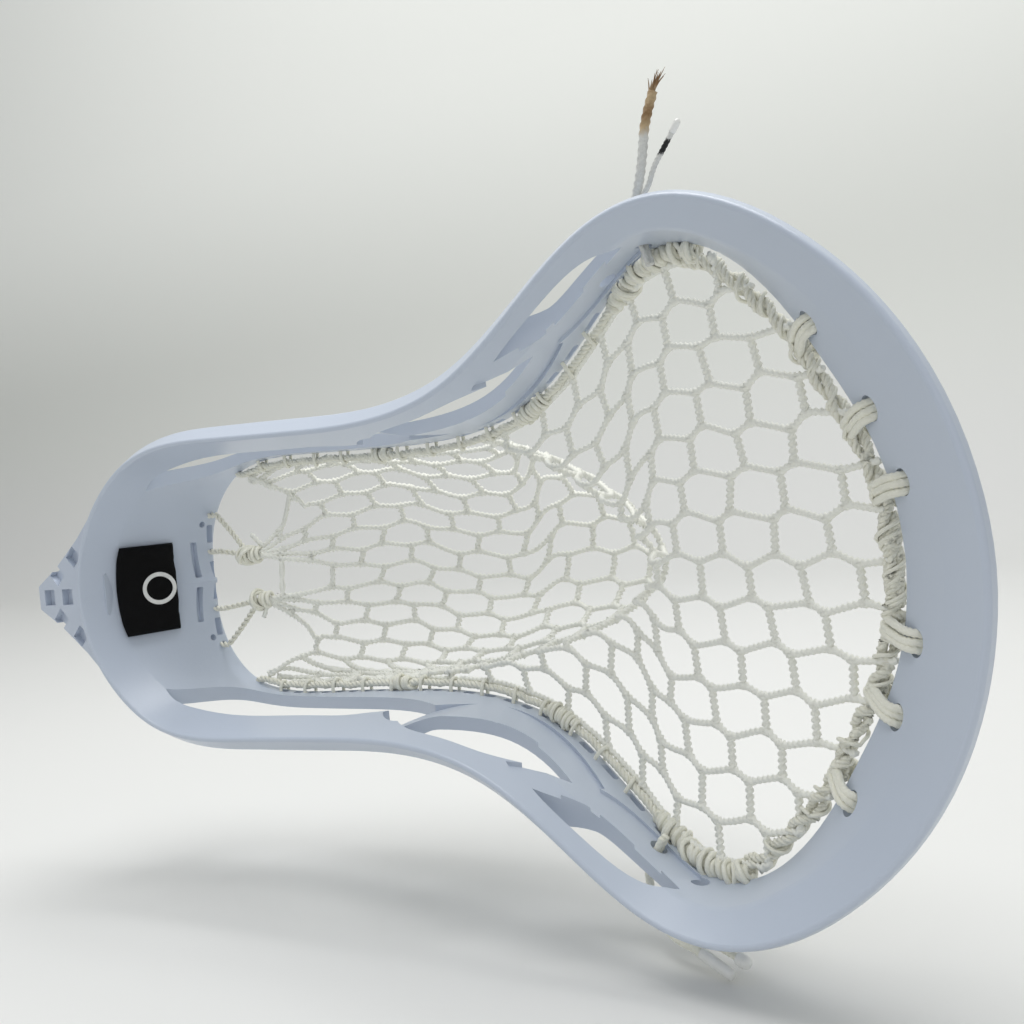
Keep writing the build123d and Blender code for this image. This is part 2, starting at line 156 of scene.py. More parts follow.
def moulded_plastic():
    """Powder blue nylon: faint cloudy colour, a fine moulded grain and a satin sheen."""
    material, start, shader = new_finish("moulded_plastic", roughness=0.34, coat_weight=0.12,
                                         coat_roughness=0.2, ior=1.5)
    place = place_of(start)
    cloud = noise_at(start, place, 14.0, 3.0)
    speck = noise_at(start, place, 900.0, 2.0)
    colour = blend_colours(start, cloud, (0.50, 0.56, 0.66), (0.55, 0.605, 0.70))
    feed(start, shader, "Base Color", colour)
    feed(start, shader, "Roughness", cloud * 0.08 + speck * 0.08 + 0.25)
    feed(start, shader, "Normal", bumped(start, speck, 0.00004, 0.5))
    return material


def cord_finish(name, light, dark, roughness=0.62):
    """Nylon cord: light and dull fibres in fine streaks, and slightly soiled patches."""
    material, start, shader = new_finish(name, sheen_weight=0.25, sheen_roughness=0.5,
                                         specular_ior_level=0.35)
    place = place_of(start)
    fibre = noise_at(start, place, 1500.0, 2.0, 0.6)
    patch = noise_at(start, place, 60.0, 2.0)
    colour = blend_colours(start, fibre * 0.75 + patch * 0.25, dark, light)
    feed(start, shader, "Base Color", colour)
    feed(start, shader, "Roughness", fibre * 0.2 + (roughness - 0.1))
    feed(start, shader, "Normal", bumped(start, fibre, 0.0002, 0.55))
    return material


def foam():
    """Matt black foam: fine pores and faint grey dust."""
    material, start, shader = new_finish("foam", specular_ior_level=0.12)
    place = place_of(start)
    pores = noise_at(start, place, 2200.0, 3.0, 0.7)
    dust = noise_at(start, place, 120.0, 2.0)
    colour = blend_colours(start, pores * dust, (0.002, 0.002, 0.002), (0.008, 0.008, 0.009))
    feed(start, shader, "Base Color", colour)
    feed(start, shader, "Roughness", pores * 0.2 + 0.66)
    feed(start, shader, "Normal", bumped(start, pores, 0.0003, 0.7))
    return material


def printed_mark():
    """Light grey print, thin in places."""
    material, start, shader = new_finish("printed_mark", roughness=0.6)
    wear = noise_at(start, place_of(start), 700.0, 3.0)
    feed(start, shader, "Base Color", blend_colours(start, wear, (0.62, 0.62, 0.6), (0.86, 0.86, 0.84)))
    return material


def sealed_plastic():
    """Melted cord end: glossy and milky with slight yellowing."""
    material, start, shader = new_finish("sealed_plastic", coat_weight=0.3)
    melt = noise_at(start, place_of(start), 400.0, 2.0)
    feed(start, shader, "Base Color", blend_colours(start, melt, (0.84, 0.84, 0.8), (0.92, 0.92, 0.9)))
    feed(start, shader, "Roughness", melt * 0.25 + 0.2)
    return material


# ---- surfaces worked out as whole arrays ----
def put_mesh(name, points, faces, caps=None):
    """A mesh from points (n, 3), faces (m, 4) and, if given, end caps (p, k)."""
    mesh = bpy.data.meshes.new(name)
    caps = np.zeros((0, 3), int) if caps is None else caps
    corners = np.concatenate([faces.ravel(), caps.ravel()]).astype(np.int32)
    sizes = np.concatenate([np.full(len(faces), faces.shape[1]), np.full(len(caps), caps.shape[1])])
    starts = np.concatenate([[0], np.cumsum(sizes)[:-1]]).astype(np.int32)
    mesh.vertices.add(len(points))
    mesh.vertices.foreach_set("co", np.asarray(points, np.float32).ravel())
    mesh.loops.add(len(corners))
    mesh.loops.foreach_set("vertex_index", corners)
    mesh.polygons.add(len(sizes))
    mesh.polygons.foreach_set("loop_start", starts)
    mesh.update(calc_edges=True)
    mesh.polygons.foreach_set("use_smooth", np.ones(len(sizes), bool))
    mesh.validate()
    mesh.update()
    piece = bpy.data.objects.new(name, mesh)
    bpy.context.scene.collection.objects.link(piece)
    return piece


def dress(piece, material, slot, *nodes):
    """Gives a piece its finish, and lets it stand for CAD nodes. The slot is not used."""
    piece.data.materials.clear()
    piece.data.materials.append(material)
    if nodes:
        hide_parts(*nodes)
    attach(piece, "root")
    return piece


def unit(v):
    return v / np.maximum(np.linalg.norm(v, axis=-1, keepdims=True), 1e-12)


def spaced(line, count):
    """The same line (n, 3) with count points at equal distances along it."""
    along = np.concatenate([[0], np.cumsum(np.linalg.norm(np.diff(line, axis=0), axis=1))])
    want = np.linspace(0, along[-1], count)
    return np.stack([np.interp(want, along, line[:, k]) for k in range(3)], 1)


def long_of(line):
    return float(np.linalg.norm(np.diff(line, axis=0), axis=1).sum())


def tubes(lines, radius, sides=8, lobes=0, relief=0.0, twist=1.0, aside=(0, 0, 1), closed=False):
    """Cords along lines (count, steps, 3), as points, faces and caps.

    Ring point = line + radius * (1 + relief * cos(lobes * (angle - 2 pi s / twist)))
    * (cos(angle) * n + sin(angle) * b), where s is the distance along the cord,
    n = unit(tangent x aside) and b = tangent x n, so lobes turn about the cord as its plies do.
    """
    lines = np.asarray(lines, float)
    lines = lines[None] if lines.ndim == 2 else lines
    count, steps, _ = lines.shape
    if closed:
        tangent = unit(np.roll(lines, -1, 1) - np.roll(lines, 1, 1))
    else:
        tangent = unit(np.gradient(lines, axis=1))
    n = unit(np.cross(tangent, np.broadcast_to(aside, lines.shape)))
    b = np.cross(tangent, n)
    s = np.cumsum(np.linalg.norm(np.diff(lines, axis=1, prepend=lines[:, :1]), axis=2), 1)
    angle = np.arange(sides) * 2 * np.pi / sides
    wave = 1 + relief * np.cos(lobes * (angle[None, None] - 2 * np.pi * s[..., None] / twist))
    reach = np.broadcast_to(radius, (count, steps))[..., None] * wave
    ring = np.cos(angle)[:, None] * n[:, :, None] + np.sin(angle)[:, None] * b[:, :, None]
    points = (lines[:, :, None] + reach[..., None] * ring).reshape(-1, 3)
    row = np.arange(count)[:, None, None] * steps * sides
    step = np.arange(steps if closed else steps - 1)[None, :, None]
    side = np.arange(sides)[None, None]
    after, beside = (step + 1) % steps, (side + 1) % sides
    faces = np.stack([row + step * sides + side, row + step * sides + beside,
                      row + after * sides + beside, row + after * sides + side], -1).reshape(-1, 4)
    if closed:
        return points, faces, None
    first = np.arange(count)[:, None] * steps * sides + np.arange(sides)[::-1]
    final = np.arange(count)[:, None] * steps * sides + (steps - 1) * sides + np.arange(sides)
    return points, faces, np.concatenate([first, final])


def joined(parts):
    """Several (points, faces, caps) sets as one."""
    points, faces, caps, base = [], [], [], 0
    for p, f, c in parts:
        points.append(p)
        faces.append(f + base)
        if c is not None:
            caps.append(c + base)
        base += len(p)
    return np.concatenate(points), np.concatenate(faces), np.concatenate(caps) if caps else None


def wound(line, radius, pitch, steps_a_turn=14, start=0.0, wobble=0.0):
    """A helix of that radius about a line (n, 3), and the line's own direction at each point."""
    turns = long_of(line) / pitch
    core = spaced(line, int(turns * steps_a_turn) + 2)
    ahead = unit(np.gradient(core, axis=0))
    n = unit(np.cross(ahead, (0.31, 0.2, 0.93)))
    b = np.cross(ahead, n)
    angle = start + np.linspace(0, turns * 2 * np.pi, len(core))
    reach = radius * (1 + wobble * np.sin(angle * 0.37 + start * 3))
    return core + reach[:, None] * (np.cos(angle)[:, None] * n + np.sin(angle)[:, None] * b), ahead


def coil_of(line, radius, cord_r, pitch, start=0.0, wobble=0.0, sides=7, **looks):
    """One cord wound about a line."""
    path, ahead = wound(line, radius, pitch, start=start, wobble=wobble)
    return tubes(path, cord_r, sides, aside=ahead, **looks)


def rope_of(line, radius, plies, pitch, sides=7, steps_a_turn=14, wobble=0.0):
    """Plies laid side by side and twisted about each other: each is a helix about the line."""
    parts = []
    for k in range(plies):
        path, ahead = wound(line, radius * 0.52, pitch, steps_a_turn, 2 * np.pi * k / plies, wobble)
        parts.append(tubes(path, radius * 0.55, sides, aside=ahead, lobes=2, relief=0.12, twist=radius * 2.2))
    return joined(parts)


# ---- the frame's inner back edge, found by rays from the middle of the head ----
head_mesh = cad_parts["head_frame"].data
head_rays = BVHTree.FromPolygons([v.co[:] for v in head_mesh.vertices],
                                 [face.vertices[:] for face in head_mesh.polygons])
corner_x = 246 * mm                  # the scoop's corners, where the side walls end


def edge_place(x, z, ahead, depths):
    """The place where a ray from (x, z) first meets the wall, at the first depth at which it does."""
    for depth in depths:
        hit = head_rays.ray_cast(Vector((x, depth, z)), Vector(ahead))[0]
        if hit is not None:
            return hit
    return None


def back_edge():
    """The edge from the base to the scoop's tip, (n, 3), for the upper half of the head.

    Along the wall the rays leave the handle axis sideways, and along the scoop they run forwards
    from a line between the corners. Depths go from the back of the head to the front.
    """
    wall_depths, scoop_depths = np.arange(36, -14, -0.5) * mm, np.arange(4, -30, -0.5) * mm
    found = [edge_place(x, 0, (0, 0, 1), wall_depths) for x in np.arange(52, 250, 2.0) * mm]
    found += [edge_place(225 * mm, z, (1, 0, 0), scoop_depths) for z in np.arange(70, -1, -2.0) * mm]
    line = np.array([place[:] for place in found if place is not None])
    return line[np.argsort(line[:, 0])]


edge = back_edge()
scoop_start = edge[:, 0].max() - 5 * mm


# ---- the net ----
net_halves = 7                       # rows on each side of the middle one
row_gap = 1 / net_halves             # between rows, as a share of the half width
row_pull = 0.13                      # how far the links pull a row, in row gaps
upper_shear, lower_shear = 0.30, -0.38   # links' shift from one row to the next, in pitches
middle_shear = -0.5                  # the same across the middle row
link_lean = 0.03
centre_pitch, edge_pitch = 18.4 * mm, 16.0 * mm
strand_r, link_r = 0.80 * mm, 0.88 * mm
net_gap = 3.4 * mm                   # from the frame's edge to the net's outer row
ridge_x, ridge_y = 212 * mm, 25 * mm
count_x = 226 * mm                   # where the links are counted from
bag_x, bag_y = 145 * mm, 66 * mm     # the bag's deepest place
mouth_x, mouth_half = 110 * mm, 40 * mm  # where the bag's mouth starts to narrow, and its half width
gather_place = {1: np.array((57, 24, 8.0)) * mm, -1: np.array((60, 24, -8.0)) * mm}
throat_x, throat_y = gather_place[1][:2]
rail_share = 0.58                    # rows past this share run to the rail, the others to the gathers
rail_x, rail_spread = 50 * mm, 26 * mm   # where the outermost row meets the rail, and the others' spread


def edge_at(x):
    """Depth and half width of the net's outer line at a distance along the head."""
    return np.interp(x, edge[:, 0], edge[:, 1]), np.interp(x, edge[:, 0], edge[:, 2]) - net_gap


def net_depth(x, z):
    """Depth of the net: a dished ramp from the edge to the ridge, and a bag behind the mouth.

    ramp = edge + (middle - edge) * (1 - (z / w)^2), where middle falls from the scoop to the ridge.
    bag = ramp + (bottom - ramp) * (1 - |q|^2.4)^(1/2.4), with q the place across the mouth, whose
    half width shrinks to nothing at the ridge, and the bottom is a superellipse along x.
    """
    side_y, half = edge_at(x)
    rise = (ridge_y - np.interp(scoop_start, edge[:, 0], edge[:, 1])) / (scoop_start - ridge_x)
    middle_y = ridge_y - (x - ridge_x) * np.where(x > ridge_x, rise, 0.03)
    ramp = side_y + (middle_y - side_y) * (1 - np.clip(z / half, -1, 1) ** 2)
    share = np.clip((x - mouth_x) / (ridge_x - mouth_x), 0, 1)
    mouth = np.where(x < mouth_x, half, np.minimum(half, mouth_half * (1 - share ** 2) ** 0.6 + 1e-6))
    sway = 4 * mm * np.sin(np.pi * share) - 3 * mm * share ** 4
    ahead = np.clip((x - bag_x) / (ridge_x - bag_x), 0, 1)
    behind = np.clip((bag_x - x) / (bag_x - throat_x), 0, 1)
    bottom = np.where(x > bag_x, ridge_y + (bag_y - ridge_y) * (1 - ahead ** 2.6) ** (1 / 2.6),
                      throat_y + (bag_y - throat_y) * (1 - behind ** 1.5) ** (1 / 1.5))
    q = np.clip((z - sway) / mouth, -1, 1)
    return ramp + np.maximum(bottom - ramp, 0) * (1 - np.abs(q) ** 2.4) ** (1 / 2.4)


def smoothed(values, width):
    """The values (n,) blurred along their length by a window of that odd width."""
    window = np.hanning(width)
    return np.convolve(np.pad(values, width // 2, "edge"), window / window.sum(), "valid")


def rows_across(row, x):
    """Where the rows stand across the head, (len(x), len(row)), at equal distances along each section."""
    half = edge_at(x)[1]
    z = half[:, None] * np.linspace(-1, 1, 301)
    y = net_depth(x[:, None], z)
    s = np.cumsum(np.hypot(np.diff(y, axis=1, prepend=y[:, :1]), np.diff(z, axis=1, prepend=z[:, :1])), 1)
    return np.stack([np.interp((row + 1) / 2 * s[i, -1], s[i], z[i]) for i in range(len(x))])


def row_foot(share, word):
    """Where a row ends near the throat, and the length over which it is drawn in there."""
    if share <= rail_share:
        return gather_place[word], (34 - 30 * share) * mm
    x = rail_x + rail_spread * (1 - share)
    y, z = edge_at(x)
    return np.array((x, y - 1 * mm, word * (z - 1 * mm))), 13 * mm


def net_grid(rows=121, steps=420):
    """Points (rows, steps, 3) of the net, evenly spaced along each row.

    Past the corners the rows run on in line to the scoop. Near the throat a row is drawn in to its
    foot: path = foot + (net - foot) * pull, where pull is a smooth step, 3 t^2 - 2 t^3, along it.
    """
    row = np.linspace(-1, 1, rows)
    body_x = np.linspace(throat_x, corner_x, 260)
    body_z = rows_across(row, body_x)
    past = edge[:, 0] > corner_x
    scoop_x, scoop_z = edge[past, 0][::-1], edge[past, 2][::-1] - net_gap
    grid = np.zeros((rows, steps, 3))
    for k in range(rows):
        row_z = smoothed(body_z[:, k], 25)
        start = corner_x
        if abs(row_z[-1]) < scoop_z.max():
            start = min(np.interp(abs(row_z[-1]), scoop_z, scoop_x), scoop_start)
        x = np.concatenate([np.linspace(start, corner_x, 160, endpoint=False), body_x[::-1]])
        z = np.interp(x, body_x, row_z)
        foot, reach = row_foot(abs(row[k]), 1 if row[k] > -0.04 else -1)
        pull = np.clip((x - foot[0]) / reach, 0, 1)
        pull = pull * pull * (3 - 2 * pull)
        path = np.stack([np.maximum(x, foot[0]), foot[1] + (net_depth(x, z) - foot[1]) * pull ** 0.7,
                         foot[2] + (z - foot[2]) * pull], 1)
        grid[k] = spaced(path, steps)
    return grid


net = net_grid()
row_places = np.linspace(-1, 1, len(net))
row_longs = np.array([long_of(line) for line in net])
row_steps = np.linspace(0, 1, net.shape[1])
row_starts = row_longs * np.array([np.interp(-count_x, -line[:, 0], row_steps) for line in net])


def on_net(u, r):
    """The net's point at u from 0, the scoop, to 1, the throat, and r from -1 to 1 across."""
    rows, steps, _ = net.shape
    i = np.clip((np.asarray(r) + 1) / 2 * (rows - 1), 0, rows - 1.001)
    j = np.clip(np.asarray(u) * (steps - 1), 0, steps - 1.001)
    i0, j0 = i.astype(int), j.astype(int)
    a, b = (i - i0)[..., None], (j - j0)[..., None]
    return ((net[i0, j0] * (1 - b) + net[i0, j0 + 1] * b) * (1 - a)
            + (net[i0 + 1, j0] * (1 - b) + net[i0 + 1, j0 + 1] * b) * a)


def row_ends(r):
    """The scoop's and the throat's distances from the counting line, along the row at r."""
    start = np.interp(r, row_places, row_starts)
    return -start, np.interp(r, row_places, row_longs) - start


def along_net(s, r):
    """The net's point at s, the distance past the counting line to the throat, and r across."""
    first, final = row_ends(r)
    return on_net(np.clip((s - first) / (final - first), 0, 1), r)


def net_joints():
    """Both ends of each link, as (s, r) pairs by gap, from the top gap down."""
    gaps, phase = [], 0.1
    for k in range(2 * net_halves):
        upper, lower = 1 - k * row_gap, 1 - (k + 1) * row_gap
        phase += upper_shear if k < net_halves else middle_shear if k == net_halves else lower_shear
        middle = (upper + lower) / 2
        pitch = centre_pitch + (edge_pitch - centre_pitch) * middle ** 2
        first, final = row_ends(middle)
        s = (np.arange(-9, 16) + phase % 1.0) * pitch
        s = s[(s > first + 0.25 * pitch) & (s < final - 2 * mm)]
        stray = rng.normal(0, 1, (4, len(s))) * 0.03
        tops = np.stack([s + (stray[0] + link_lean / 2) * pitch, upper - row_gap * (row_pull + stray[1])], 1)
        feet = np.stack([s + (stray[2] - link_lean / 2) * pitch, lower + row_gap * (row_pull + stray[3])], 1)
        gaps.append((tops, feet))
    return gaps


def net_rows(gaps):
    """The rows from scoop to throat: two-ply cords that zigzag to their links and swell at the knots.

    Swell = 1 + 0.35 * exp(-(distance to the nearest knot / 1.3 mm)^2).
    """
    lines, swells = [], []
    for k in range(2 * net_halves + 1):
        level = 1 - k * row_gap
        knots = np.concatenate(([gaps[k - 1][1]] if k else []) + ([gaps[k][0]] if k < 2 * net_halves else []))
        knots = knots[np.argsort(knots[:, 0])]
        first, final = row_ends(level)
        way = np.concatenate([[[first, level]], knots, [[final, level]]])
        fine = np.linspace(first, final, 900)
        zigzag = smoothed(np.interp(fine, way[:, 0], way[:, 1]), 21)
        s = np.linspace(first, final, 820)
        lines.append(along_net(s, np.clip(np.interp(s, fine, zigzag), -1, 1)))
        near = np.abs(s[:, None] - knots[None, :, 0]).min(1)
        swells.append(1 + 0.35 * np.exp(-(near / (1.3 * mm)) ** 2))
    return tubes(np.array(lines), strand_r * np.array(swells), 8, lobes=2, relief=0.26, twist=3.4 * mm)


def net_links(gaps):
    """The links between rows: straight two-ply cords, thicker where they meet a row.

    Swell = 1 + 0.25 * |2 t - 1|^6, with t from 0 to 1 along the link.
    """
    tops, feet = (np.concatenate([gap[end] for gap in gaps]) for end in (0, 1))
    share = np.linspace(-0.05, 1.05, 44)[None, :]
    s, r = (tops[:, k:k + 1] + (feet - tops)[:, k:k + 1] * share for k in (0, 1))
    swell = 1 + 0.25 * np.abs(2 * share - 1) ** 6
    return tubes(along_net(s, np.clip(r, -1, 1)), link_r * swell, 8, lobes=2, relief=0.34,
                 twist=3.2 * mm, aside=(1, 0, 0))


mesh_cord = cord_finish("mesh_cord", (0.97, 0.97, 0.91), (0.82, 0.82, 0.74))
braid_cord = cord_finish("braid_cord", (0.97, 0.96, 0.88), (0.74, 0.73, 0.60))
net_knots = net_joints()
dress(put_mesh("net_rows", *net_rows(net_knots)), mesh_cord, "net_cord", "mesh_pocket")
dress(put_mesh("net_links", *net_links(net_knots)), mesh_cord, "net_cord", "mesh_pocket")


# ---- laces along the edge ----
lace_inward, lace_up = 2.9 * mm, 2.0 * mm    # the side lace's middle, in from the wall and up
knot_half = 4.4 * mm                         # half of a wrapped knot's length


def edge_line(first_x, final_x, count, inward, up, side=1):
    """The frame's edge between two distances along the head, moved in from the wall and up."""
    x = np.linspace(first_x, final_x, count)
    line = np.stack([x, np.interp(x, edge[:, 0], edge[:, 1]) - up, np.interp(x, edge[:, 0], edge[:, 2])], 1)
    out = unit(np.cross((0, 1, 0), unit(np.gradient(line, axis=0))))
    line = line - out * inward * np.sign(out[:, 2:3])
    return line * (1, 1, side)


def side_lace(word, side):
    """A three-ply lace along the rail, with evenly spaced loops of thin cord round it and the wall.

    Loop = place + (1.6 + 3.4 * cos(angle)) mm * out + 1.9 mm * sin(angle) * back, where back is the
    head's depth direction with a small random lean along the lace.
    """
    line = edge_line(54 * mm, 213 * mm, 120, lace_inward, lace_up, side)
    parts = [rope_of(line, 1.15 * mm, 3, 5.5 * mm)]
    stops = spaced(line, 15)[1:-1]
    ahead = unit(np.gradient(stops, axis=0))
    for place, along in zip(stops, ahead):
        out = unit(np.cross((0, 1, 0), along))
        out = out * np.sign(out[2]) * side
        angle = np.linspace(0, 2 * np.pi, 25)[:-1, None]
        lean = rng.uniform(-0.5, 0.5)
        ring = (place + out * 1.6 * mm + np.cos(angle) * out * 3.4 * mm
                + np.sin(angle) * (np.array((0, 1, 0)) + along * lean) * 1.9 * mm)
        parts.append(tubes(ring, 0.6 * mm, 7, aside=along, closed=True))
    return dress(put_mesh(f"side_lace_{word}", *joined(parts)), braid_cord, "lace_cord",
                 f"sidewall_string_{word}")


def side_knots(word, side):
    """Two wrapped knots on the side lace: close turns of cord in two layers."""
    parts = []
    low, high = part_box(f"sidewall_knots_{word}")
    for x in (low.x + 4.5 * mm, high.x - 4.5 * mm):
        line = edge_line(x - knot_half, x + knot_half, 12, lace_inward, lace_up, side)
        parts.append(coil_of(line, 1.7 * mm, 0.72 * mm, 1.5 * mm, wobble=0.12))
        parts.append(coil_of(line[2:-2], 2.4 * mm, 0.62 * mm, 2.3 * mm, start=2.0, wobble=0.2))
    return dress(put_mesh(f"side_knots_{word}", *joined(parts)), braid_cord, "lace_cord",
                 f"sidewall_knots_{word}")


def corner_wrap(word, side):
    """The heavy wrap in a scoop corner: crossing coils about the edge line."""
    line = edge_line(213 * mm, 245 * mm, 40, 2.2 * mm, 0.5 * mm, side)
    plies = {"lobes": 2, "relief": 0.12, "twist": 1.6 * mm}
    parts = [coil_of(line, 1.5 * mm, 0.85 * mm, 1.8 * mm, wobble=0.15),
             coil_of(line, 2.5 * mm, 0.75 * mm, 3.1 * mm, start=1.0, wobble=0.25, **plies),
             coil_of(line[::-1], 2.6 * mm, 0.7 * mm, 5.2 * mm, start=2.0, wobble=0.3, **plies)]
    return dress(put_mesh(f"corner_wrap_{word}", *joined(parts)), braid_cord, "lace_cord",
                 f"corner_coil_{word}")


def scoop_line(inward, up, count=220):
    """The scoop's edge from the upper corner round to the lower one, moved in and up."""
    half = edge[edge[:, 0] > 240 * mm]
    whole = spaced(np.concatenate([half, half[::-1] * (1, 1, -1)]), count)
    inwards = unit(np.cross((0, 1, 0), unit(np.gradient(whole, axis=0))))
    inwards = inwards * -np.sign((inwards * (whole - (200 * mm, 0, 0))).sum(1, keepdims=True))
    return whole + inwards * inward - (0, up, 0)


def top_lace():
    """The scoop lace: two ropes wound about each other, with a thin cord that crosses over them."""
    line = scoop_line(4.2 * mm, -2.4 * mm)
    parts = [coil_of(line, 2.2 * mm, 0.5 * mm, 7.5 * mm, wobble=0.3, sides=6)]
    for start in (0.0, np.pi):
        strand = wound(line, 1.15 * mm, 17 * mm, 60, start, 0.2)[0]
        parts.append(rope_of(strand, 1.15 * mm, 3, 5.0 * mm, sides=6, steps_a_turn=10))
    return dress(put_mesh("scoop_lace", *joined(parts)), braid_cord, "lace_cord", "top_string")


def scoop_tie(name):
    """Three cords side by side round the scoop's edge and through its hole.

    Each is a closed rounded rectangle, |a / A|^3.4 + |b / B|^3.4 = 1, in the plane of the CAD loop,
    whose axes come from that loop's own points.
    """
    co = np.array([v.co[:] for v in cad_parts[name].data.vertices])
    middle = (co.max(0) + co.min(0)) / 2
    _, _, axes = np.linalg.svd(co - co.mean(0), full_matrices=False)
    reach = np.abs((co - co.mean(0)) @ axes.T).max(0)
    long, short, across = axes
    parts = []
    angle = np.linspace(0, 2 * np.pi, 73)[:-1, None]
    ring_a = np.sign(np.cos(angle)) * np.abs(np.cos(angle)) ** (2 / 3.4)
    ring_b = np.sign(np.sin(angle)) * np.abs(np.sin(angle)) ** (2 / 3.4)
    for k in (-1, 0, 1):
        lean = rng.uniform(-0.5, 0.5) * mm
        ring = (middle + long * ring_a * (reach[0] - 0.9 * mm + rng.uniform(-0.4, 0.2) * mm)
                + short * ring_b * (reach[1] - 0.9 * mm)
                + across * (k * 1.75 * mm + lean * np.sin(angle) + 0.25 * mm * np.cos(2 * angle)))
        parts.append(tubes(ring, 0.92 * mm, 9, lobes=2, relief=0.1, twist=2.4 * mm, aside=across,
                           closed=True))
    return dress(put_mesh(name + "_cords", *joined(parts)), braid_cord, "lace_cord", name)


def throat_strings():
    """Strands from the base wall to the gathered net, and the wraps that gather it."""
    base_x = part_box("bottom_string")[0].x
    parts = []
    for side, end in gather_place.items():
        for across in (10.3 * mm, 23.4 * mm):
            start = np.array((base_x + 0.5 * mm, 21 * mm, across * side))
            line = np.linspace(start, end, 24)
            line[:, 1] += 0.8 * mm * np.sin(np.linspace(0, np.pi, 24))
            parts.append(rope_of(line, 1.0 * mm, 2, 4.0 * mm))
            back = np.linspace(start - (7 * mm, 0, 0), start, 8)
            parts.append(rope_of(back, 1.0 * mm, 2, 4.0 * mm))
        axis = np.linspace(end - (2 * mm, 0, 0), end + (5 * mm, 1 * mm, 0), 12)
        parts.append(coil_of(axis, 2.2 * mm, 0.7 * mm, 1.7 * mm, wobble=0.2))
        for turn in range(3):
            tilt = rng.uniform(-0.6, 0.6, 3)
            normal = unit(np.array((1.0, 0, 0)) + tilt)
            n = unit(np.cross(normal, (0, 0, 1)))
            b = np.cross(normal, n)
            angle = np.linspace(0, 2 * np.pi, 37)[:-1, None]
            long, short = (3.4 + turn * 0.7) * mm, (2.6 + turn * 0.5) * mm
            ring = end + np.cos(angle) * n * long + np.sin(angle) * b * short
            parts.append(tubes(ring, 0.62 * mm, 7, aside=normal, closed=True))
    return dress(put_mesh("throat_strings", *joined(parts)), braid_cord, "lace_cord", "bottom_string")


for word, side in (("upper", 1), ("lower", -1)):
    side_lace(word, side)
    side_knots(word, side)
    corner_wrap(word, side)
    for spot in ("outer", "middle", "inner"):
        scoop_tie(f"scoop_tie_{word}_{spot}")
top_lace()
throat_strings()

# ---- free tails: the same routes as the frame's, in millimetres, smoothed by a spline ----
routes = {
    "upper_braid": [(233.1, -4.5, 75.4), (231.6, -4.5, 80.4), (230.6, -4.8, 85.6), (232.0, -8.2, 90.6),
                    (235.4, -11.8, 94.9), (237.0, -12.2, 101.2), (238.4, -12.8, 108.0),
                    (240.7, -11.7, 114.4)],
    "upper_thin": [(233.2, -6.6, 75.6), (231.8, -6.6, 80.4), (230.4, -6.7, 85.4), (232.6, -9.4, 89.2),
                   (237.2, -11.2, 92.6), (239.2, -11.8, 96.9), (242.0, -11.5, 100.6), (244.9, -12.0, 104.0)],
    "lower_braid": [(219.4, 3.1, -72.1), (217.0, 3.1, -76.0), (214.9, 2.9, -80.2), (214.8, -0.2, -84.6),
                    (218.0, -5.0, -89.0), (225.0, -9.8, -93.4), (231.5, -11.0, -94.8), (237.5, -12.6, -97.2)],
    "lower_thin": [(219.3, 0.9, -72.1), (217.0, 0.8, -75.9), (214.7, 0.5, -79.7), (215.6, -1.9, -83.6),
                   (219.6, -4.0, -87.2), (226.5, -5.4, -90.8), (232.5, -8.4, -93.2), (238.0, -10.4, -93.9),
                   (243.0, -11.9, -95.2)],
}
tail_radii = {"upper_braid": 1.15, "upper_thin": 0.65, "lower_braid": 1.1, "lower_thin": 0.9}


def route_line(name):
    """The route's NURBS line as points (n, 3)."""
    curve = bpy.data.curves.new("route", "CURVE")
    curve.dimensions, curve.resolution_u = "3D", 24
    spline = curve.splines.new("NURBS")
    spline.points.add(len(routes[name]) - 1)
    for point, place in zip(spline.points, routes[name]):
        point.co = (*(Vector(place) * mm), 1)
    spline.order_u, spline.use_endpoint_u = 3, True
    holder = bpy.data.objects.new("route", curve)
    bpy.context.scene.collection.objects.link(holder)
    mesh = bpy.data.meshes.new_from_object(holder.evaluated_get(bpy.context.evaluated_depsgraph_get()))
    points = np.array([v.co[:] for v in mesh.vertices])
    bpy.data.objects.remove(holder)
    return points


def tail_finish(name, foot, rise, bands):
    """Cord whose colour changes with height: bands are (share of the rise above the foot, colour)."""
    material, start, shader = new_finish(name, sheen_weight=0.2, specular_ior_level=0.35)
    place = place_of(start)
    height = start.node("ShaderNodeSeparateXYZ", None, {"Vector": place}, out=2)
    fibre = noise_at(start, place, 1500.0, 2.0, 0.6)
    share = (height - foot) * (1 / rise) + (fibre - 0.5) * 0.06
    colour = start.node("ShaderNodeValToRGB", {"stops": bands}, {"Fac": share})
    dim = blend_colours(start, fibre, (0.62, 0.62, 0.62), (1.0, 1.0, 1.0))
    feed(start, shader, "Base Color", blend_colours(start, 1.0, colour, dim, "MULTIPLY"))
    feed(start, shader, "Roughness", fibre * 0.2 + 0.55)
    feed(start, shader, "Normal", bumped(start, fibre, 0.0002, 0.6))
    return material


white, tan, brown, black = (0.84, 0.84, 0.8), (0.62, 0.47, 0.28), (0.3, 0.17, 0.07), (0.015, 0.015, 0.015)
scorched = tail_finish("scorched_braid", 76 * mm, 45 * mm,
                       [(0.0, white), (0.62, white), (0.67, tan), (0.74, brown), (0.82, tan), (0.9, brown)])
banded = tail_finish("banded_cord", 75 * mm, 30 * mm,
                     [(0.0, white), (0.80, white), (0.82, black), (0.9, black), (0.92, white)])
sealed = sealed_plastic()
tail_lines = {name: spaced(route_line(name), 150) for name in routes}
tail_aside = (0, 1, 0.15)            # a direction that no tail runs along


